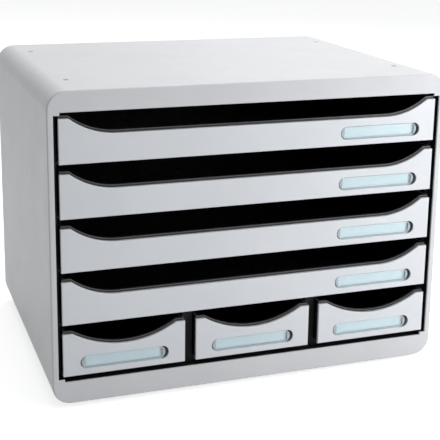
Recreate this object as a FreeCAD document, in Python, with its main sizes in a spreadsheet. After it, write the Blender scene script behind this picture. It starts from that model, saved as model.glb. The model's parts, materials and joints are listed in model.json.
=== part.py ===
import FreeCAD, Part
import math
import os
import re
import Sketcher

# Desktop drawer unit: a grey housing with black runners inside, four wide drawers
# over a row of three small ones. All sizes are in millimetres.
# Frame: X to the right, Y to the back, Z up; the origin is under the middle of the unit.

DIMENSIONS = {
    # Housing, seen from the front
    "casing_width": 355.0,
    "casing_depth": 270.0,
    "plinth_height": 19.6,
    "top_band_height": 17.7,
    "side_rim_width": 5.3,
    "casing_corner_radius": 16.0,
    "corner_step_width": 5.2,
    "corner_step_height": 2.4,
    # Housing, wall and front rim, and the black liner of its mouth
    "casing_wall": 3.0,
    "rim_depth": 1.5,
    "liner_depth": 8.5,
    "liner_wall": 2.0,
    "casing_edge_radius": 1.6,
    "opening_edge_radius": 0.6,
    # Non-slip feet under the housing, and the dimples over them for stacking
    "foot_height": 5.0,
    "foot_seat_depth": 1.2,
    "foot_radius": 7.0,
    "foot_taper": 0.8,
    "foot_side_inset": 25.5,
    "foot_end_inset": 49.0,
    "dimple_radius": 2.6,
    "dimple_depth": 0.8,
    # Rows of drawers
    "large_rows": 4,
    "small_drawers": 3,
    "row_pitch": 45.4,
    "end_gap": 4.9,
    "side_gap": 3.9,
    "small_gap": 9.8,
    # Drawer fronts
    "fascia_height": 37.3,
    "fascia_thickness": 2.5,
    "fascia_edge_radius": 0.6,
    "shoulder_width": 8.2,
    "large_scoop_depth": 13.7,
    "large_scoop_radius": 62.7,
    "small_scoop_depth": 13.1,
    # Label slot, holder and card
    "slot_length": 76.8,
    "slot_height": 11.8,
    "slot_lift": 5.2,
    "holder_left_gap": 1.3,
    "holder_right_gap": 2.9,
    "holder_clearance": 0.3,
    "holder_recess": 0.7,
    "card_left_border": 3.5,
    "card_right_border": 4.7,
    "card_border": 1.0,
    "card_thickness": 0.3,
    "card_clearance": 0.1,
    # Trays
    "tray_inset": 0.8,
    "tray_lift": 1.0,
    "lip_rise": 2.1,
    "tray_wall": 2.0,
    "tray_floor": 1.8,
    "tray_corner_radius": 5.0,
    "tray_floor_radius": 1.4,
    # Runners and stops
    "drawer_travel": 180.0,
    "running_clearance": 0.3,
    "stop_clearance": 0.3,
    "frame_plate": 2.5,
    "post_depth": 8.0,
    "post_clearance": 1.2,
    "ledge_thickness": 2.0,
    "ledge_reach": 6.0,
    "guide_clearance": 0.6,
    "guide_lift": 1.5,
    "guide_height": 4.5,
    "lug_reach": 3.4,
    "lug_length": 6.0,
    "lug_height": 6.0,
    "lug_lift": 14.0,
    "rear_stop_thickness": 6.2,
    "rear_stop_width": 5.0,
    "deck_thickness": 2.5,
    "shelf_thickness": 2.0,
    "seat_clearance": 0.2,
    "divider_web": 3.0,
    # Back
    "rear_inset": 2.0,
    "rear_thickness": 2.5,
    "rear_clearance": 0.3,
}

# Sizes that follow from the dimensions above, as expressions
OPENING_BOTTOM = "(foot_height + plinth_height)"
FIRST_FASCIA = f"({OPENING_BOTTOM} + end_gap)"
OPENING_TOP = f"({FIRST_FASCIA} + large_rows * row_pitch + fascia_height + end_gap)"
CASING_TOP = f"({OPENING_TOP} + top_band_height)"
HALF_CAVITY = "(casing_width / 2 - casing_wall)"
HALF_OPENING = "(casing_width / 2 - side_rim_width)"
HALF_LARGE = f"({HALF_OPENING} - side_gap)"
HALF_SMALL = f"({HALF_LARGE} / small_drawers - (small_drawers - 1) * small_gap / (2 * small_drawers))"
SMALL_PITCH = f"(2 * {HALF_SMALL} + small_gap)"
LABEL_CENTRE = f"({HALF_LARGE} - {HALF_SMALL})"
HALF_TRAY = f"({HALF_LARGE} - tray_inset)"
RIM_TOP = "(fascia_height + lip_rise)"
REAR_FACE = "(casing_depth - rear_inset - rear_thickness)"
TRAY_END = f"({REAR_FACE} - rear_stop_thickness - stop_clearance)"
POST_FRONT = "(rim_depth + liner_depth)"
POST_REAR = f"({POST_FRONT} + post_depth)"
PLATE_FACE = f"({HALF_CAVITY} - frame_plate)"
FLOOR_TOP = "(foot_height + casing_wall)"
DECK_TOP = f"({FIRST_FASCIA} + tray_lift - running_clearance)"
SHELF_TOP = f"({DECK_TOP} + row_pitch)"
FRONT = "(-casing_depth / 2)"

# Levels this close together count as one
TOLERANCE = 1e-4

document = FreeCAD.newDocument("drawer_unit")
sheet = document.addObject("Spreadsheet::Sheet", "Dimensions")
for row, (alias, number) in enumerate(DIMENSIONS.items(), start=1):
    sheet.set(f"A{row}", alias)
    sheet.set(f"B{row}", str(number))
    sheet.setAlias(f"B{row}", alias)
document.recompute()

bodies = []


def bound(text):
    """Point each dimension that an expression names at its cell in the sheet."""
    def reference(word):
        name = word.group()
        return f"Dimensions.{name}" if name in DIMENSIONS else name
    return re.sub(r"[a-z_]+", reference, text)


def size(text):
    """The number that an expression comes to."""
    return float(sheet.evalExpression(bound(text)))


def new_body(label, x="0", y=FRONT, z="0"):
    body = document.addObject("PartDesign::Body", label)
    body.Label = label
    for axis, text in (("x", x), ("y", y), ("z", z)):
        body.setExpression(f"Placement.Base.{axis}", bound(text))
    bodies.append(body)
    return body


def new_sketch(body, name, plane, offset="0"):
    """A sketch on one of the body's own origin planes, moved along its normal."""
    sketch = body.newObject("Sketcher::SketchObject", f"{body.Name}_{name}")
    origin_planes = {feature.Role: feature for feature in body.Origin.OriginFeatures}
    sketch.AttachmentSupport = [(origin_planes[plane], "")]
    sketch.MapMode = "FlatFace"
    sketch.setExpression("AttachmentOffset.Base.z", bound(offset))
    return sketch


def bind(sketch, kind, *where, text):
    """Add a dimension to the sketch and tie it to the sheet."""
    index = sketch.addConstraint(Sketcher.Constraint(kind, *where, size(text)))
    sketch.setExpression(f"Constraints[{index}]", bound(text))


def add_outline(sketch, corners, centres=None):
    """A closed outline, drawn counterclockwise through corners given as expressions.

    centres holds, for the edge after each corner, an arc's centre, or None for a straight edge.
    """
    count = len(corners)
    centres = centres or [None] * count
    points = [FreeCAD.Vector(size(x), size(y), 0) for x, y in corners]
    ends = []
    for i, centre in enumerate(centres):
        start, end = points[i], points[(i + 1) % count]
        if centre is None:
            edge = sketch.addGeometry(Part.LineSegment(start, end), False)
            ends.append((edge, 1, 2))
            continue
        middle = FreeCAD.Vector(size(centre[0]), size(centre[1]), 0)
        from_middle, to_middle = start - middle, end - middle
        clockwise = from_middle.cross(to_middle).z < -TOLERANCE
        first, last = (to_middle, from_middle) if clockwise else (from_middle, to_middle)
        circle = Part.Circle(middle, FreeCAD.Vector(0, 0, 1), first.Length)
        first_angle = math.atan2(first.y, first.x)
        last_angle = math.atan2(last.y, last.x)
        edge = sketch.addGeometry(Part.ArcOfCircle(circle, first_angle, last_angle), False)
        ends.append((edge, 2, 1) if clockwise else (edge, 1, 2))
        chord = end - start
        if abs(chord.y) >= abs(chord.x):
            bind(sketch, "DistanceX", -1, 1, edge, 3, text=centre[0])
        else:
            bind(sketch, "DistanceY", -1, 1, edge, 3, text=centre[1])
    for i, (edge, start, _) in enumerate(ends):
        before, _, before_end = ends[i - 1]
        sketch.addConstraint(Sketcher.Constraint("Coincident", before, before_end, edge, start))
        bind(sketch, "DistanceX", -1, 1, edge, start, text=corners[i][0])
        bind(sketch, "DistanceY", -1, 1, edge, start, text=corners[i][1])


def add_rectangle(sketch, left, right, bottom, top, radius=None):
    """A rectangle, with round corners where a radius is given."""
    if radius is None:
        add_outline(sketch, [(left, bottom), (right, bottom), (right, top), (left, top)])
        return
    left_in, right_in = f"({left} + {radius})", f"({right} - {radius})"
    bottom_in, top_in = f"({bottom} + {radius})", f"({top} - {radius})"
    corners = [(left_in, bottom), (right_in, bottom), (right, bottom_in), (right, top_in),
               (right_in, top), (left_in, top), (left, top_in), (left, bottom_in)]
    centres = [None, (right_in, bottom_in), None, (right_in, top_in),
               None, (left_in, top_in), None, (left_in, bottom_in)]
    add_outline(sketch, corners, centres)


def add_stadium(sketch, centre_x, centre_y, length, height):
    """A slot outline with a half circle at each end."""
    left, right = f"({centre_x} - {length} / 2 + {height} / 2)", f"({centre_x} + {length} / 2 - {height} / 2)"
    bottom, top = f"({centre_y} - {height} / 2)", f"({centre_y} + {height} / 2)"
    corners = [(left, bottom), (right, bottom), (right, top), (left, top)]
    add_outline(sketch, corners, [None, (right, centre_y), None, (left, centre_y)])


def add_circle(sketch, x, y, radius):
    middle = FreeCAD.Vector(size(x), size(y), 0)
    circle = Part.Circle(middle, FreeCAD.Vector(0, 0, 1), size(radius))
    edge = sketch.addGeometry(circle, False)
    bind(sketch, "Radius", edge, text=radius)
    bind(sketch, "DistanceX", -1, 1, edge, 3, text=x)
    bind(sketch, "DistanceY", -1, 1, edge, 3, text=y)


def extrude(kind, body, name, sketch, length=None, reverse=False):
    """A pad, or a pocket, which runs through everything when it has no length."""
    feature = body.newObject(f"PartDesign::{kind}", f"{body.Name}_{name}")
    feature.Profile = sketch
    feature.Reversed = reverse
    if length is None:
        feature.Type = "ThroughAll"
    else:
        feature.setExpression("Length", bound(length))
    sketch.Visibility = False
    return feature


def round_edges(body, name, radius, wanted):
    """Round each edge of the body so far that wanted(edge) picks out."""
    document.recompute()
    base = body.Tip
    edges = [f"Edge{i}" for i, edge in enumerate(base.Shape.Edges, start=1) if wanted(edge)]
    fillet = body.newObject("PartDesign::Fillet", f"{body.Name}_{name}")
    fillet.Base = (base, edges)
    fillet.setExpression("Radius", bound(radius))
    return fillet


def lies_at(edge, axis, text):
    """Whether a whole edge lies at one level along an axis of its body's frame."""
    box = edge.BoundBox
    level = size(text)
    low, high = getattr(box, f"{axis}Min"), getattr(box, f"{axis}Max")
    return abs(low - level) < TOLERANCE and abs(high - level) < TOLERANCE


def row_height(row):
    """The bottom edge of a row's drawer fronts; row 0 is the row of small drawers."""
    return f"({FIRST_FASCIA} + {row} * row_pitch)"


# Housing


def foot_places():
    """The feet's centres, as X and distance from the front, near the four corners."""
    side = "(casing_width / 2 - foot_side_inset)"
    near, far = "foot_end_inset", "(casing_depth - foot_end_inset)"
    return [(f"-{side}", near), (side, near), (f"-{side}", far), (side, far)]


def add_mouth(sketch):
    """The outline of the housing's mouth, with a small square step in each corner."""
    left, right, bottom, top = f"(-{HALF_OPENING})", HALF_OPENING, OPENING_BOTTOM, OPENING_TOP
    left_in, right_in = f"({left} + corner_step_width)", f"({right} - corner_step_width)"
    bottom_in, top_in = f"({bottom} + corner_step_height)", f"({top} - corner_step_height)"
    add_outline(sketch, [(left_in, bottom), (right_in, bottom), (right_in, bottom_in), (right, bottom_in),
                         (right, top_in), (right_in, top_in), (right_in, top), (left_in, top),
                         (left_in, top_in), (left, top_in), (left, bottom_in), (left_in, bottom_in)])


def add_cavity(sketch, clearance):
    """The outline of the space inside the housing's walls, less a clearance all round."""
    half = f"({HALF_CAVITY} - {clearance})"
    add_rectangle(sketch, f"(-{half})", half, f"({FLOOR_TOP} + {clearance})",
                  f"({CASING_TOP} - casing_wall - {clearance})",
                  f"(casing_corner_radius - casing_wall - {clearance})")


def make_casing_shell():
    body = new_body("casing_shell")
    outside = new_sketch(body, "outside", "XZ_Plane")
    add_rectangle(outside, "(-casing_width / 2)", "(casing_width / 2)", "foot_height", CASING_TOP,
                  "casing_corner_radius")
    extrude("Pad", body, "block", outside, "casing_depth", reverse=True)
    opening = new_sketch(body, "opening", "XZ_Plane")
    add_mouth(opening)
    extrude("Pocket", body, "mouth", opening)
    cavity = new_sketch(body, "cavity", "XZ_Plane", "-rim_depth")
    add_cavity(cavity, "0")
    extrude("Pocket", body, "hollow", cavity)
    seats = new_sketch(body, "foot_seats", "XY_Plane", "foot_height")
    dimples = new_sketch(body, "dimples", "XY_Plane", CASING_TOP)
    for x, y in foot_places():
        add_circle(seats, x, y, "(foot_radius + seat_clearance)")
        add_circle(dimples, x, y, "dimple_radius")
    extrude("Pocket", body, "seating", seats, "foot_seat_depth", reverse=True)
    extrude("Pocket", body, "stacking", dimples, "dimple_depth")

    def reaches_outside(edge):
        """Whether an edge lies on the outer skin, beyond the mouth and the cavity."""
        box = edge.BoundBox
        sideways = max(abs(box.XMin), abs(box.XMax)) > size(f"{HALF_CAVITY} + casing_wall / 2")
        upwards = box.ZMax > size(f"{CASING_TOP} - casing_wall / 2")
        return sideways or upwards or box.ZMin < size(f"{FLOOR_TOP} - casing_wall / 2")

    def outer_rim(edge):
        at_end = lies_at(edge, "Y", "0") or lies_at(edge, "Y", "casing_depth")
        return at_end and reaches_outside(edge)

    def mouth_rim(edge):
        return lies_at(edge, "Y", "0") and not reaches_outside(edge)

    round_edges(body, "outer_edges", "casing_edge_radius", outer_rim)
    round_edges(body, "mouth_edges", "opening_edge_radius", mouth_rim)


def make_mouth_liner():
    """The black frame behind the front rim: a flange inside the housing, and a sleeve round the mouth."""
    body = new_body("mouth_liner")
    front = "(rim_depth + seat_clearance)"
    flange = new_sketch(body, "flange", "XZ_Plane", f"-{front}")
    add_cavity(flange, "seat_clearance")
    add_mouth(flange)
    extrude("Pad", body, "flange_plate", flange, "liner_wall", reverse=True)
    sleeve = new_sketch(body, "sleeve", "XZ_Plane", f"-{front}")
    half = f"({HALF_OPENING} + liner_wall)"
    bottom, top = f"({OPENING_BOTTOM} - liner_wall)", f"({OPENING_TOP} + liner_wall)"
    add_rectangle(sleeve, f"(-{half})", half, bottom, top)
    add_mouth(sleeve)
    extrude("Pad", body, "sleeve_walls", sleeve, "(liner_depth - 2 * seat_clearance)", reverse=True)


def make_feet():
    for number, (x, y) in enumerate(foot_places(), start=1):
        body = new_body(f"foot_{number}", x, f"({FRONT} + {y})")
        profile = new_sketch(body, "profile", "XZ_Plane")
        add_outline(profile, [("0", "0"), ("(foot_radius - foot_taper)", "0"), ("foot_radius", "foot_height"),
                              ("foot_radius", "(foot_height + foot_seat_depth)"),
                              ("0", "(foot_height + foot_seat_depth)")])
        turned = body.newObject("PartDesign::Revolution", f"{body.Name}_turned")
        turned.Profile = profile
        turned.ReferenceAxis = (profile, ["V_Axis"])
        turned.Angle = 360


def make_rear_panel():
    body = new_body("rear_panel")
    outline = new_sketch(body, "outline", "XZ_Plane", f"-{REAR_FACE}")
    add_cavity(outline, "rear_clearance")
    extrude("Pad", body, "plate", outline, "rear_thickness", reverse=True)


# Runners inside the housing


def make_runner_frame(side, sign):
    """A side frame: plate, front post, rear stop, and a ledge and a guide for each row.

    sign is -1 on the left and 1 on the right.
    """
    body = new_body(f"{side}_runner_frame")

    def across(inner, outer):
        """The two X limits in rising order, from distances off the middle."""
        return (inner, outer) if sign > 0 else (f"(-{outer})", f"(-{inner})")

    bottom = "(foot_height + casing_corner_radius)"
    top = f"({CASING_TOP} - casing_corner_radius)"
    plate = new_sketch(body, "plate", "XZ_Plane", f"-{POST_FRONT}")
    add_rectangle(plate, *across(PLATE_FACE, HALF_CAVITY), bottom, top)
    extrude("Pad", body, "side_plate", plate, f"({REAR_FACE} - {POST_FRONT})", reverse=True)
    post = new_sketch(body, "post", "XZ_Plane", f"-{POST_FRONT}")
    add_rectangle(post, *across(f"({HALF_TRAY} + post_clearance)", HALF_CAVITY), bottom, top)
    extrude("Pad", body, "front_post", post, "post_depth", reverse=True)
    stop = new_sketch(body, "stop", "XZ_Plane", f"-({REAR_FACE} - rear_stop_thickness)")
    add_rectangle(stop, *across(f"({HALF_TRAY} - rear_stop_width)", HALF_CAVITY), bottom, top)
    extrude("Pad", body, "rear_stop", stop, "rear_stop_thickness", reverse=True)
    ledges = new_sketch(body, "ledges", "XZ_Plane", f"-{POST_FRONT}")
    for row in range(1, int(size("large_rows")) + 1):
        ledge_top = f"({row_height(row)} + tray_lift - running_clearance)"
        if row == 1:
            ledge_top = f"({ledge_top} - shelf_thickness)"
        add_rectangle(ledges, *across(f"({HALF_TRAY} - ledge_reach)", HALF_CAVITY),
                      f"({ledge_top} - ledge_thickness)", ledge_top)
    extrude("Pad", body, "runner_ledges", ledges, f"({REAR_FACE} - {POST_FRONT})", reverse=True)
    guides = new_sketch(body, "guides", "XZ_Plane", f"-{POST_FRONT}")
    for row in range(int(size("large_rows")) + 1):
        guide_bottom = f"({row_height(row)} + tray_lift + guide_lift)"
        add_rectangle(guides, *across(f"({HALF_TRAY} + guide_clearance)", HALF_CAVITY),
                      guide_bottom, f"({guide_bottom} + guide_height)")
    extrude("Pad", body, "side_guides", guides, f"({REAR_FACE} - {POST_FRONT})", reverse=True)


def make_base_deck():
    """The deck of the small drawers, hollow below, standing on the housing's floor."""
    body = new_body("base_deck")
    half = f"({HALF_TRAY} + post_clearance - seat_clearance)"
    rear = f"({REAR_FACE} - rear_stop_thickness - seat_clearance)"
    plate = new_sketch(body, "plate", "XY_Plane", f"({DECK_TOP} - deck_thickness)")
    add_rectangle(plate, f"(-{half})", half, POST_FRONT, rear)
    extrude("Pad", body, "deck_plate", plate, "deck_thickness")
    foot_half = f"({HALF_CAVITY} - casing_corner_radius)"
    inner_half = f"({foot_half} - deck_thickness)"
    skirt = new_sketch(body, "skirt", "XY_Plane", FLOOR_TOP)
    add_rectangle(skirt, f"(-{foot_half})", foot_half, POST_FRONT, rear)
    add_rectangle(skirt, f"(-{inner_half})", inner_half, f"({POST_FRONT} + deck_thickness)",
                  f"({rear} - deck_thickness)")
    extrude("Pad", body, "deck_skirt", skirt, f"({DECK_TOP} - deck_thickness / 2 - {FLOOR_TOP})")


def make_mid_shelf():
    body = new_body("mid_shelf")
    half = f"({PLATE_FACE} - seat_clearance)"
    outline = new_sketch(body, "outline", "XY_Plane", f"({SHELF_TOP} - shelf_thickness)")
    add_rectangle(outline, f"(-{half})", half, f"({POST_REAR} + seat_clearance)",
                  f"({REAR_FACE} - rear_stop_thickness - seat_clearance)")
    extrude("Pad", body, "plate", outline, "shelf_thickness")


def make_dividers():
    """Uprights between the small drawers: a wide front post on a thin web."""
    count = int(size("small_drawers")) - 1
    half_post = "(small_gap / 2 + tray_inset - post_clearance)"
    for number in range(1, count + 1):
        centre = f"(({number} - small_drawers / 2) * {SMALL_PITCH})"
        body = new_body(f"divider_{number}", centre, z=DECK_TOP)
        outline = new_sketch(body, "outline", "XY_Plane")
        end = f"({REAR_FACE} - rear_stop_thickness - seat_clearance)"
        corners = [(f"(-{half_post})", POST_FRONT), (half_post, POST_FRONT), (half_post, POST_REAR),
                   ("(divider_web / 2)", POST_REAR), ("(divider_web / 2)", end),
                   ("(-divider_web / 2)", end), ("(-divider_web / 2)", POST_REAR),
                   (f"(-{half_post})", POST_REAR)]
        add_outline(outline, corners)
        extrude("Pad", body, "upright", outline, f"({SHELF_TOP} - shelf_thickness - {DECK_TOP})")


# Drawers


def scoop(half, top, large):
    """The finger scoop's edge from its left end to its right end: corners and arc centres."""
    reach = f"({half} - shoulder_width)"
    if large:
        run = "sqrt(2 * large_scoop_radius * large_scoop_depth - large_scoop_depth ^ 2)"
        flat = f"({reach} - {run})"
        low = f"({top} - large_scoop_depth)"
        centre_height = f"({low} + large_scoop_radius)"
        corners = [(f"(-{reach})", top), (f"(-{flat})", low), (flat, low), (reach, top)]
        return corners, [(f"(-{flat})", centre_height), None, (flat, centre_height)]
    radius = f"(({reach} ^ 2 + small_scoop_depth ^ 2) / (2 * small_scoop_depth))"
    return [(f"(-{reach})", top), (reach, top)], [("0", f"({top} - small_scoop_depth + {radius})")]


def make_fascia(name, place, half, label_x, large):
    body = new_body(f"{name}_fascia", *place)
    front = new_sketch(body, "front", "XZ_Plane")
    scoop_corners, centres = scoop(half, "fascia_height", large)
    corners = [(f"(-{half})", "0"), (half, "0"), (half, "fascia_height")]
    corners += scoop_corners[::-1]
    corners.append((f"(-{half})", "fascia_height"))
    add_outline(front, corners, [None, None, None] + centres[::-1] + [None, None])
    extrude("Pad", body, "plate", front, "fascia_thickness", reverse=True)
    slot = new_sketch(body, "slot", "XZ_Plane")
    add_stadium(slot, label_x, "(slot_lift + slot_height / 2)", "slot_length", "slot_height")
    extrude("Pocket", body, "label_slot", slot)

    def front_rim(edge):
        box = edge.BoundBox
        slot_top = size("slot_lift + slot_height")
        in_slot = box.ZMin > size("slot_lift") - TOLERANCE and box.ZMax < slot_top + TOLERANCE
        on_side = box.ZMax - box.ZMin > size("slot_height") + TOLERANCE
        return lies_at(edge, "Y", "0") and (on_side or not in_slot)

    round_edges(body, "front_edges", "fascia_edge_radius", front_rim)


def make_label(name, place, label_x):
    """The clear holder in the fascia's slot, and the paper card behind it."""
    centre_x = f"({label_x} + (holder_left_gap - holder_right_gap) / 2)"
    centre_z = "(slot_lift + slot_height / 2)"
    holder_length = "(slot_length - holder_left_gap - holder_right_gap)"
    card_left = f"({centre_x} - {holder_length} / 2 + card_left_border)"
    card_right = f"({centre_x} + {holder_length} / 2 - card_right_border)"
    holder_height = "(slot_height - 2 * holder_clearance)"
    card_height = f"({holder_height} - 2 * card_border)"
    holder = new_body(f"{name}_label_holder", *place)
    outline = new_sketch(holder, "outline", "XZ_Plane", "-holder_recess")
    add_stadium(outline, centre_x, centre_z, holder_length, holder_height)
    extrude("Pad", holder, "window", outline, "(fascia_thickness - holder_recess)", reverse=True)
    recess = new_sketch(holder, "recess", "XZ_Plane", "-(fascia_thickness - card_thickness - card_clearance)")
    tall = f"({card_height} / 2 + card_clearance)"
    add_rectangle(recess, f"({card_left} - card_clearance)", f"({card_right} + card_clearance)",
                  f"({centre_z} - {tall})", f"({centre_z} + {tall})")
    extrude("Pocket", holder, "card_recess", recess)
    card = new_body(f"{name}_label_card", *place)
    paper = new_sketch(card, "paper", "XZ_Plane", "-(fascia_thickness - card_thickness)")
    add_rectangle(paper, card_left, card_right, f"({centre_z} - {card_height} / 2)",
                  f"({centre_z} + {card_height} / 2)")
    extrude("Pad", card, "sheet", paper, "card_thickness", reverse=True)


def make_tray(name, place, half, large):
    """The black drawer behind a fascia, whose front wall repeats the scoop a little higher."""
    body = new_body(f"{name}_tray", *place)
    half_tray = f"({half} - tray_inset)"
    outline = new_sketch(body, "outline", "XY_Plane", "tray_lift")
    add_rectangle(outline, f"(-{half_tray})", half_tray, "fascia_thickness", TRAY_END)
    extrude("Pad", body, "block", outline, f"({RIM_TOP} - tray_lift)")

    def rear_corner(edge):
        return lies_at(edge, "Y", TRAY_END) and edge.BoundBox.ZLength > size(RIM_TOP) / 2

    round_edges(body, "corners", "tray_corner_radius", rear_corner)
    inside = new_sketch(body, "inside", "XY_Plane", "(tray_lift + tray_floor)")
    inner = f"({half_tray} - tray_wall)"
    add_rectangle(inside, f"(-{inner})", inner, "(fascia_thickness + tray_wall)", f"({TRAY_END} - tray_wall)",
                  "(tray_corner_radius - tray_wall)")
    extrude("Pocket", body, "hollow", inside, reverse=True)

    def floor_rim(edge):
        return lies_at(edge, "Z", "(tray_lift + tray_floor)")

    round_edges(body, "floor_edges", "tray_floor_radius", floor_rim)
    lugs = new_sketch(body, "lugs", "XY_Plane", "(tray_lift + lug_lift)")
    lug_front = f"({POST_REAR} + drawer_travel + stop_clearance)"
    reach = f"({half_tray} + lug_reach)"
    root = f"({half_tray} - tray_wall / 2)"
    add_rectangle(lugs, f"(-{reach})", f"(-{root})", lug_front, f"({lug_front} + lug_length)")
    add_rectangle(lugs, root, reach, lug_front, f"({lug_front} + lug_length)")
    extrude("Pad", body, "stop_lugs", lugs, "lug_height")
    lip = new_sketch(body, "lip", "XZ_Plane")
    scoop_corners, centres = scoop(half, RIM_TOP, large)
    above = f"({RIM_TOP} + large_scoop_depth)"
    corners = scoop_corners + [(scoop_corners[-1][0], above), (scoop_corners[0][0], above)]
    add_outline(lip, corners, centres + [None, None, None])
    extrude("Pocket", body, "finger_scoop", lip, "(fascia_thickness + 2 * tray_wall)")


def make_drawer(name, x, row, half, label_x, large):
    place = (x, FRONT, row_height(row))
    make_tray(name, place, half, large)
    make_fascia(name, place, half, label_x, large)
    make_label(name, place, label_x)


def make_drawers():
    rows = int(size("large_rows"))
    for number in range(1, rows + 1):
        make_drawer(f"large_drawer_{number}", "0", rows + 1 - number, HALF_LARGE, LABEL_CENTRE, True)
    for number in range(1, int(size("small_drawers")) + 1):
        centre = f"(({number} - (small_drawers + 1) / 2) * {SMALL_PITCH})"
        make_drawer(f"small_drawer_{number}", centre, 0, HALF_SMALL, "0", False)


def check_model():
    """Stop on a failed feature, a bad solid or a pocket that cut nothing."""
    for item in document.Objects:
        if "Invalid" in item.State or "Error" in item.State:
            raise RuntimeError(f"{item.Name} failed: {item.State}")
        if item.TypeId == "PartDesign::Pocket":
            if item.Shape.Volume >= item.BaseFeature.Shape.Volume:
                raise RuntimeError(f"{item.Name} cuts nothing")
    for body in bodies:
        shape = body.Shape
        if shape.isNull() or not shape.isValid() or len(shape.Solids) != 1:
            raise RuntimeError(f"{body.Label} is not one valid solid")


make_casing_shell()
make_mouth_liner()
make_feet()
make_rear_panel()
make_runner_frame("left", -1)
make_runner_frame("right", 1)
make_base_deck()
make_mid_shelf()
make_dividers()
make_drawers()
document.recompute()
check_model()

os.makedirs("parts", exist_ok=True)
for body in bodies:
    body.Shape.exportStep(f"parts/{body.Label}.step")
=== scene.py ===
import json
import math

import bmesh
import bpy
from mathutils import Matrix, Vector


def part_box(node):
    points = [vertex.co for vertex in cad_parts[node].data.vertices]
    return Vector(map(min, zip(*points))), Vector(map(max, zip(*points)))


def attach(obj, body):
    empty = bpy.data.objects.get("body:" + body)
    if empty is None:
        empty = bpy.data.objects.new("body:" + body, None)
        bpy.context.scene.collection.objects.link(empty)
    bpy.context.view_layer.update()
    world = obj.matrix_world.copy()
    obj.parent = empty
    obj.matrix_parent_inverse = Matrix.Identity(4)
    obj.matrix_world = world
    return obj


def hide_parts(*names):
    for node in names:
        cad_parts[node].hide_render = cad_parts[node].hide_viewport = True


# Desktop drawer unit: looks of the grey housing, the seven drawers and their labels.
# Lengths are in metres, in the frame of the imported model: X right, Y back, Z up.

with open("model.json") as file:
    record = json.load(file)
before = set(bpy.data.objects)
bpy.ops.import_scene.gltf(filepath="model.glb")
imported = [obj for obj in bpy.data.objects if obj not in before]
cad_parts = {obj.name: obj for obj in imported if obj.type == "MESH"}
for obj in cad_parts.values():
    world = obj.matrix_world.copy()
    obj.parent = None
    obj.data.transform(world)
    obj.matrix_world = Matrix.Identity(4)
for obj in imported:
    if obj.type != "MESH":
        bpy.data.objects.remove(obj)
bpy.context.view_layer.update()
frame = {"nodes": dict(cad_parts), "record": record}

NODES = frame["nodes"]
BODIES = frame["record"]["behaviour"]["bodies"]
DRAWERS = [name for name in BODIES if "drawer" in name]

# Camera: where it stands, how it is turned, and its lens and frame in millimetres
CAMERA_PLACE = Vector((-0.3207, -0.9435, 0.4180))
CAMERA_YAW = math.radians(19.565)
CAMERA_PITCH = math.radians(-13.529)
CAMERA_ROLL = math.radians(0.838)
CAMERA_LENS = 86.83
CAMERA_FRAME = 36.0
CAMERA_SHIFT_Y = -0.15
CAMERA_NEAR, CAMERA_FAR = 0.05, 50.0

# Lamps: place, side of the square panel, and power in watts
LAMPS = {
    "key_lamp": ((1.3, -1.2, 1.5), 1.2, 8.0),
    "near_lamp": ((0.48, -0.56, 0.27), 0.35, 2.25),
    "top_lamp": ((0.3, 0.1, 1.9), 1.6, 16.5),
    "rear_lamp": ((0.9, 1.2, 1.5), 1.2, 11.5),
}
LAMP_TARGET = Vector((0.0, 0.0, 0.13))

# World and floor: both are seen as white, and light the surfaces less than that
WHITE = (1.0, 1.0, 1.0, 1.0)
WORLD_TINT = (0.96, 0.98, 1.0, 1.0)
WORLD_LIGHT = 0.275
FLOOR_HALF = 6.0
FLOOR_COLOUR = (0.80, 0.80, 0.80, 1.0)
FLOOR_GLOW = 0.68

# Painted edge highlights, a paler colour along edges in place of the light they catch: how wide they are,
# and how alike a face's normal and the rounded normal are in the middle of such an edge and where it ends
EDGE_WIDTH = 0.0008
TRAY_EDGE_WIDTH = 0.0016
EDGE_SAMPLES = 6
LIKENESS_AT_EDGE = 0.80
LIKENESS_ON_FLAT = 0.99

# Label holder: how far it fills its slot's clearance above, below and at the left, its rim and its rounding
HOLDER_FIT = 0.0002
HOLDER_REACH = 0.0004
HOLDER_RIM = 0.0015
HOLDER_ROUND = 0.0003

# Its window: how far it reaches past the card at either end, the step into its pane, its corners, and how far
# outside it a face's corners may lie when the face counts as part of it
WINDOW_LEFT_BORDER = 0.0003
WINDOW_RIGHT_BORDER = 0.0020
WINDOW_STEP = 0.0003
WINDOW_DEPTH = 0.0004
WINDOW_RADIUS = 0.0012
WINDOW_MARGIN = 0.0001

# The card's play in its recess, how milky the window and its frame are, from 0 to 1, and the holder's
# material slots for the two
CARD_PLAY = 0.0001
CLEAR_COVER = 0.14
MILKY_COVER = 0.52
CLEAR_SLOT, MILKY_SLOT = 0, 1

# Trays: the rounding of their moulded edges
TRAY_ROUND = 0.0007
TRAY_ROUND_STEPS = 3
TRAY_ROUND_ANGLE = math.radians(40)

# Feet: the two rings under each and the end of its tread, as shares of its radius, and where its upright side
# starts, as a share of its height
FOOT_INNER_RING = (0.30, 0.48)
FOOT_OUTER_RING = (0.64, 0.87)
FOOT_TREAD_END = 0.93
FOOT_SIDE_START = 0.8
FOOT_GROOVE = 0.0005
FOOT_SIDES = 48

# Meshes: steps in a round corner, and the angle past which an edge is drawn sharp
CORNER_STEPS = 8
SHARP_ANGLE = math.radians(30)


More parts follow.
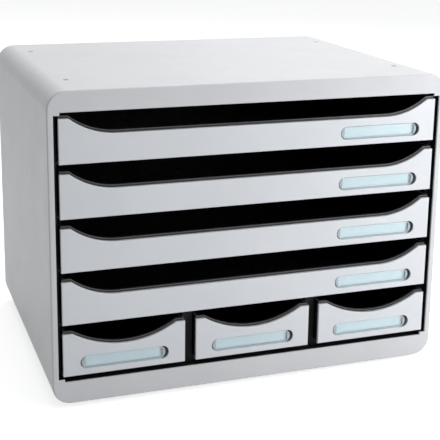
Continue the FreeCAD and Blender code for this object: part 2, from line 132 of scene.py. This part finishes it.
class Nodes:
    """A material's node tree, with short calls to add and join nodes."""

    def __init__(self, name):
        self.material = bpy.data.materials.new(name)
        self.material.use_nodes = True
        self.tree = self.material.node_tree
        self.shader = self.tree.nodes["Principled BSDF"]
        self.output = self.tree.nodes["Material Output"]
        place = self.add("ShaderNodeTexCoord")
        self.place = place.outputs["Object"]

    def add(self, kind, **settings):
        node = self.tree.nodes.new(kind)
        for name, value in settings.items():
            setattr(node, name, value)
        return node

    def join(self, source, target):
        self.tree.links.new(source, target)

    def set(self, **values):
        """Set the shader's own sockets; an underscore in a name stands for a space."""
        for name, value in values.items():
            self.shader.inputs[name.replace("_", " ")].default_value = value

    def noise(self, scale, detail=2.0, roughness=0.5, stretch=None):
        """A noise texture in object space; stretch scales the space along each axis first."""
        node = self.add("ShaderNodeTexNoise")
        node.inputs["Scale"].default_value = scale
        node.inputs["Detail"].default_value = detail
        node.inputs["Roughness"].default_value = roughness
        source = self.place
        if stretch:
            mapping = self.add("ShaderNodeMapping")
            mapping.inputs["Scale"].default_value = stretch
            self.join(source, mapping.inputs["Vector"])
            source = mapping.outputs["Vector"]
        self.join(source, node.inputs["Vector"])
        return node.outputs["Fac"]

    def spread(self, value, low=0.0, high=1.0, from_low=0.3, from_high=0.7):
        """Map a texture's value on to a range."""
        node = self.add("ShaderNodeMapRange")
        node.inputs["From Min"].default_value = from_low
        node.inputs["From Max"].default_value = from_high
        node.inputs["To Min"].default_value = low
        node.inputs["To Max"].default_value = high
        self.join(value, node.inputs["Value"])
        return node.outputs["Result"]

    def tones(self, value, dark, light):
        """A colour between two tones, by a texture's value."""
        node = self.add("ShaderNodeMix", data_type="RGBA")
        node.inputs["A"].default_value = (*dark, 1.0)
        node.inputs["B"].default_value = (*light, 1.0)
        self.join(value, node.inputs["Factor"])
        return node.outputs["Result"]

    def bump(self, height, strength, distance, before=None):
        """Bump from a height texture, on top of an earlier bump where there is one."""
        node = self.add("ShaderNodeBump")
        node.inputs["Strength"].default_value = strength
        node.inputs["Distance"].default_value = distance
        self.join(height, node.inputs["Height"])
        if before:
            self.join(before, node.inputs["Normal"])
        return node.outputs["Normal"]

    def edges(self, radius):
        """0 on open surfaces, rising to 1 along convex and concave edges."""
        rounded = self.add("ShaderNodeBevel", samples=EDGE_SAMPLES)
        rounded.inputs["Radius"].default_value = radius
        surface = self.add("ShaderNodeNewGeometry")
        likeness = self.add("ShaderNodeVectorMath", operation="DOT_PRODUCT")
        self.join(rounded.outputs["Normal"], likeness.inputs[0])
        self.join(surface.outputs["Normal"], likeness.inputs[1])
        return self.spread(likeness.outputs["Value"], low=1.0, high=0.0,
                           from_low=LIKENESS_AT_EDGE, from_high=LIKENESS_ON_FLAT)


def moulded_plastic(name, dark, light, roughness, grain, specular=0.5, edge_highlight_tone=None, edge_width=EDGE_WIDTH):
    """Moulded polystyrene: fine spark-eroded grain, a faint flow pattern and uneven sheen.

    The edge highlight tone is a painted highlight: a paler colour along edges, as far as edge_width from
    them.
    """
    nodes = Nodes(name)
    flow = nodes.noise(scale=14.0, detail=3.0, roughness=0.55)
    colour = nodes.tones(nodes.spread(flow), dark, light)
    # Painted highlight: a paler colour mixed into the base colour along edges, in place of light caught there
    if edge_highlight_tone:
        mix = nodes.add("ShaderNodeMix", data_type="RGBA")
        nodes.join(nodes.edges(edge_width), mix.inputs["Factor"])
        nodes.join(colour, mix.inputs["A"])
        mix.inputs["B"].default_value = (*edge_highlight_tone, 1.0)
        colour = mix.outputs["Result"]
    nodes.join(colour, nodes.shader.inputs["Base Color"])
    sheen = nodes.noise(scale=60.0, detail=4.0, roughness=0.6)
    uneven = nodes.spread(sheen, low=roughness - 0.04, high=roughness + 0.05)
    nodes.join(uneven, nodes.shader.inputs["Roughness"])
    waves = nodes.bump(nodes.noise(scale=22.0), strength=0.10, distance=0.0006)
    pits = nodes.noise(scale=2600.0, roughness=0.6)
    fine = nodes.bump(pits, strength=grain, distance=0.00006, before=waves)
    nodes.join(fine, nodes.shader.inputs["Normal"])
    nodes.set(Specular_IOR_Level=specular, IOR=1.53)
    return nodes.material


def paper():
    """Pale blue-green card with a faint fibre."""
    nodes = Nodes("label_paper")
    fibre = nodes.noise(scale=900.0, detail=6.0, roughness=0.7, stretch=(1.0, 1.0, 3.0))
    colour = nodes.tones(nodes.spread(fibre), dark=(0.79, 0.90, 0.93), light=(0.83, 0.93, 0.96))
    nodes.join(colour, nodes.shader.inputs["Base Color"])
    nodes.join(nodes.bump(fibre, strength=0.2, distance=0.00005), nodes.shader.inputs["Normal"])
    nodes.set(Roughness=0.85, Specular_IOR_Level=0.2)
    return nodes.material


def clear_plastic(name, cover):
    """Clear styrene with a cool tint and faint rubbing marks; cover is how milky it is, from 0 to 1."""
    nodes = Nodes(name)
    rub = nodes.noise(scale=300.0, detail=5.0, roughness=0.7, stretch=(0.2, 1.0, 2.0))
    nodes.join(nodes.spread(rub, low=0.10, high=0.22), nodes.shader.inputs["Roughness"])
    cloud = nodes.noise(scale=40.0, detail=3.0, roughness=0.6)
    colour = nodes.tones(nodes.spread(cloud), dark=(0.73, 0.87, 0.92), light=(0.77, 0.91, 0.96))
    nodes.join(colour, nodes.shader.inputs["Base Color"])
    nodes.set(IOR=1.5, Alpha=cover)
    return nodes.material


def rubber():
    """Dark rubber with a fine pitted skin."""
    nodes = Nodes("foot_rubber")
    speck = nodes.noise(scale=1500.0, detail=3.0, roughness=0.6)
    colour = nodes.tones(nodes.spread(speck), dark=(0.018, 0.018, 0.019), light=(0.035, 0.035, 0.036))
    nodes.join(colour, nodes.shader.inputs["Base Color"])
    nodes.join(nodes.bump(speck, strength=0.3, distance=0.0001), nodes.shader.inputs["Normal"])
    nodes.set(Roughness=0.8)
    return nodes.material


def make_materials():
    """A material for each of the record's material slots."""
    # Each pale edge tone here is a painted highlight along that material's edges
    return {
        "housing_grey": moulded_plastic(
            "housing_plastic", dark=(0.585, 0.59, 0.61), light=(0.615, 0.62, 0.64),
            roughness=0.46, grain=0.30, edge_highlight_tone=(0.70, 0.71, 0.73)),
        "fascia_grey": moulded_plastic(
            "fascia_plastic", dark=(0.63, 0.65, 0.68), light=(0.66, 0.68, 0.71),
            roughness=0.40, grain=0.16, edge_highlight_tone=(0.80, 0.82, 0.85)),
        "tray_black": moulded_plastic(
            "tray_plastic", dark=(0.010, 0.010, 0.012), light=(0.016, 0.016, 0.018),
            roughness=0.30, grain=0.06, specular=0.30,
            edge_highlight_tone=(0.16, 0.16, 0.17), edge_width=TRAY_EDGE_WIDTH),
        "inner_black": moulded_plastic(
            "inner_plastic", dark=(0.006, 0.006, 0.007), light=(0.010, 0.010, 0.011),
            roughness=0.50, grain=0.25, specular=0.15),
        "holder_clear": clear_plastic("clear_plastic", CLEAR_COVER),
        "card_paper": paper(),
        "foot_rubber": rubber(),
    }


def dress_cad_nodes():
    """Each CAD node takes the finish of its slot in the record."""
    for subpart in frame["record"]["subparts"]:
        node = NODES[subpart["node"]]
        node.data.materials.clear()
        node.data.materials.append(MATERIALS[subpart["material_slot"]])


def round_rectangle(half_width, half_height, radius):
    """Points of a rectangle with round corners, counterclockwise, as pairs about its middle."""
    points = []
    for corner in range(4):
        sign_x = 1 if corner in (0, 3) else -1
        sign_y = 1 if corner in (0, 1) else -1
        for step in range(CORNER_STEPS + 1):
            angle = math.pi / 2 * (corner + step / CORNER_STEPS)
            points.append((sign_x * (half_width - radius) + radius * math.cos(angle),
                           sign_y * (half_height - radius) + radius * math.sin(angle)))
    return points


def loft(name, loops):
    """A closed mesh through loops of equal count, capped at the first and the last."""
    shape = bmesh.new()
    rings = [[shape.verts.new(point) for point in loop] for loop in loops]
    for near, far in zip(rings, rings[1:]):
        for i in range(len(near)):
            j = (i + 1) % len(near)
            shape.faces.new((near[i], near[j], far[j], far[i]))
    shape.faces.new(rings[0])
    shape.faces.new(rings[-1])
    bmesh.ops.recalc_face_normals(shape, faces=shape.faces)
    mesh = bpy.data.meshes.new(name)
    shape.to_mesh(mesh)
    shape.free()
    piece = bpy.data.objects.new(name, mesh)
    bpy.context.scene.collection.objects.link(piece)
    return piece


def finish_piece(piece, body, node, slot):
    """Give a piece its finish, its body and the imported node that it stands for."""
    piece.data.materials.append(MATERIALS[slot])
    piece.data.shade_smooth()
    piece.data.set_sharp_from_angle(angle=SHARP_ANGLE)
    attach(piece, body)
    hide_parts(node)


def make_label_holder(drawer):
    """The holder in a drawer's slot: a clear window in a milky frame, with a recess behind for the card.

    The recess is higher than the window, so it is milky too, as the frame is.
    """
    node = f"{drawer}_label_holder"
    low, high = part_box(node)
    card_low, card_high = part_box(f"{drawer}_label_card")
    centre_z = (low[2] + high[2]) / 2
    half_height = (high[2] - low[2]) / 2 + HOLDER_FIT
    card_height = (card_high[2] - card_low[2]) / 2
    left_end, right_end = low[0] - HOLDER_REACH, high[0]
    front, back = low[1], high[1]
    window_left = card_low[0] - WINDOW_LEFT_BORDER
    window_right = card_high[0] + WINDOW_RIGHT_BORDER
    window_height = half_height - HOLDER_RIM
    recess = card_low[0] - CARD_PLAY, window_right, card_height + CARD_PLAY, CARD_PLAY
    face_height = half_height - HOLDER_ROUND

    def loop(left, right, half_z, radius, y):
        middle = (left + right) / 2
        return [(middle + x, y, centre_z + z) for x, z in round_rectangle(right - middle, half_z, radius)]

    piece = loft(f"{drawer}_holder_window", [
        loop(*recess, card_low[1] - CARD_PLAY),
        loop(*recess, back),
        loop(left_end, right_end, half_height, half_height, back),
        loop(left_end, right_end, half_height, half_height, front + HOLDER_ROUND),
        loop(left_end + HOLDER_ROUND, right_end - HOLDER_ROUND, face_height, face_height, front),
        loop(window_left, window_right, window_height, WINDOW_RADIUS, front),
        loop(window_left + WINDOW_STEP, window_right - WINDOW_STEP, window_height - WINDOW_STEP,
             WINDOW_RADIUS - WINDOW_STEP, front + WINDOW_DEPTH),
    ])
    finish_piece(piece, drawer, node, "holder_clear")
    piece.data.materials.append(MILKY_PLASTIC)

    def in_window(point):
        return (window_left - WINDOW_MARGIN < point.x < window_right + WINDOW_MARGIN
                and abs(point.z - centre_z) < window_height + WINDOW_MARGIN)

    vertices = piece.data.vertices
    for face in piece.data.polygons:
        clear = all(in_window(vertices[i].co) for i in face.vertices)
        face.material_index = CLEAR_SLOT if clear else MILKY_SLOT


def make_foot(node):
    """A rubber foot, with two rings moulded under it."""
    low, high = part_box(node)
    centre_x, centre_y = (low[0] + high[0]) / 2, (low[1] + high[1]) / 2
    radius = (high[0] - low[0]) / 2
    top = high[2]
    inner_start, inner_end = FOOT_INNER_RING
    outer_start, outer_end = FOOT_OUTER_RING
    profile = [
        (inner_start, FOOT_GROOVE), (inner_start, 0.0), (inner_end, 0.0), (inner_end, FOOT_GROOVE),
        (outer_start, FOOT_GROOVE), (outer_start, 0.0), (outer_end, 0.0), (FOOT_TREAD_END, FOOT_GROOVE),
        (1.0, top * FOOT_SIDE_START), (1.0, top),
    ]
    turns = [math.tau * i / FOOT_SIDES for i in range(FOOT_SIDES)]
    loops = []
    for share, z in profile:
        reach = radius * share
        loops.append([(centre_x + reach * math.cos(a), centre_y + reach * math.sin(a), z) for a in turns])
    finish_piece(loft(f"{node}_tread", loops), "casing", node, "foot_rubber")


def round_tray_edges(drawer):
    """The tray's rim and corners are moulded round, so that they catch the light."""
    rounding = NODES[f"{drawer}_tray"].modifiers.new("rim_rounding", "BEVEL")
    rounding.width = TRAY_ROUND
    rounding.segments = TRAY_ROUND_STEPS
    rounding.limit_method = "ANGLE"
    rounding.angle_limit = TRAY_ROUND_ANGLE
    rounding.harden_normals = True


def make_camera():
    """The camera at the photograph's viewing angle."""
    data = bpy.data.cameras.new("camera")
    data.sensor_width = CAMERA_FRAME
    data.lens = CAMERA_LENS
    data.shift_y = CAMERA_SHIFT_Y
    data.clip_start, data.clip_end = CAMERA_NEAR, CAMERA_FAR
    camera = bpy.data.objects.new("camera", data)
    yaw = Matrix.Rotation(-CAMERA_YAW, 4, "Z")
    pitch = Matrix.Rotation(math.pi / 2 + CAMERA_PITCH, 4, "X")
    roll = Matrix.Rotation(CAMERA_ROLL, 4, "Z")
    camera.matrix_world = Matrix.Translation(CAMERA_PLACE) @ (yaw @ pitch @ roll)
    bpy.context.scene.collection.objects.link(camera)
    bpy.context.scene.camera = camera


def make_lamps():
    """Square panels of light, turned to the middle of the unit."""
    for name, (place, side, power) in LAMPS.items():
        data = bpy.data.lights.new(name, "AREA")
        data.shape = "SQUARE"
        data.size = side
        data.energy = power
        lamp = bpy.data.objects.new(name, data)
        lamp.location = place
        lamp.rotation_euler = (LAMP_TARGET - Vector(place)).to_track_quat("-Z", "Y").to_euler()
        bpy.context.scene.collection.objects.link(lamp)


def seen_rays(tree):
    """1 for rays from the camera, in reflections or through glass, and 0 for light on a surface."""
    path = tree.nodes.new("ShaderNodeLightPath")
    total = path.outputs["Is Camera Ray"]
    for kind in ("Is Glossy Ray", "Is Transmission Ray"):
        either = tree.nodes.new("ShaderNodeMath")
        either.operation = "MAXIMUM"
        tree.links.new(total, either.inputs[0])
        tree.links.new(path.outputs[kind], either.inputs[1])
        total = either.outputs[0]
    return total


def make_world():
    """White where it is seen, and a softer light on the surfaces."""
    world = bpy.data.worlds.new("studio")
    bpy.context.scene.world = world
    world.use_nodes = True
    tree = world.node_tree
    tree.nodes.clear()
    seen = tree.nodes.new("ShaderNodeBackground")
    seen.inputs["Color"].default_value = WHITE
    seen.inputs["Strength"].default_value = 1.0
    soft = tree.nodes.new("ShaderNodeBackground")
    soft.inputs["Color"].default_value = WORLD_TINT
    soft.inputs["Strength"].default_value = WORLD_LIGHT
    mix = tree.nodes.new("ShaderNodeMixShader")
    output = tree.nodes.new("ShaderNodeOutputWorld")
    tree.links.new(seen_rays(tree), mix.inputs[0])
    tree.links.new(soft.outputs[0], mix.inputs[1])
    tree.links.new(seen.outputs[0], mix.inputs[2])
    tree.links.new(mix.outputs[0], output.inputs["Surface"])


def make_floor():
    """A pale floor that is seen as white, with the unit's soft shadow on it."""
    half = FLOOR_HALF
    corners = [(-half, -half, 0), (half, -half, 0), (half, half, 0), (-half, half, 0)]
    mesh = bpy.data.meshes.new("floor")
    mesh.from_pydata(corners, [], [(0, 1, 2, 3)])
    floor = bpy.data.objects.new("floor", mesh)
    bpy.context.scene.collection.objects.link(floor)
    nodes = Nodes("floor_white")
    nodes.set(Base_Color=FLOOR_COLOUR, Roughness=0.9, Specular_IOR_Level=0.1)
    glow = nodes.add("ShaderNodeEmission")
    glow.inputs["Color"].default_value = WHITE
    glow.inputs["Strength"].default_value = FLOOR_GLOW
    both = nodes.add("ShaderNodeAddShader")
    mix = nodes.add("ShaderNodeMixShader")
    nodes.join(nodes.shader.outputs[0], both.inputs[0])
    nodes.join(glow.outputs[0], both.inputs[1])
    nodes.join(seen_rays(nodes.tree), mix.inputs[0])
    nodes.join(nodes.shader.outputs[0], mix.inputs[1])
    nodes.join(both.outputs[0], mix.inputs[2])
    nodes.join(mix.outputs[0], nodes.output.inputs["Surface"])
    mesh.materials.append(nodes.material)


MATERIALS = make_materials()
MILKY_PLASTIC = clear_plastic("milky_plastic", MILKY_COVER)
dress_cad_nodes()
for drawer in DRAWERS:
    make_label_holder(drawer)
    round_tray_edges(drawer)
for node in NODES:
    if node.startswith("foot_"):
        make_foot(node)
make_camera()
make_lamps()
make_world()
make_floor()

bpy.context.scene.view_settings.view_transform = "Standard"
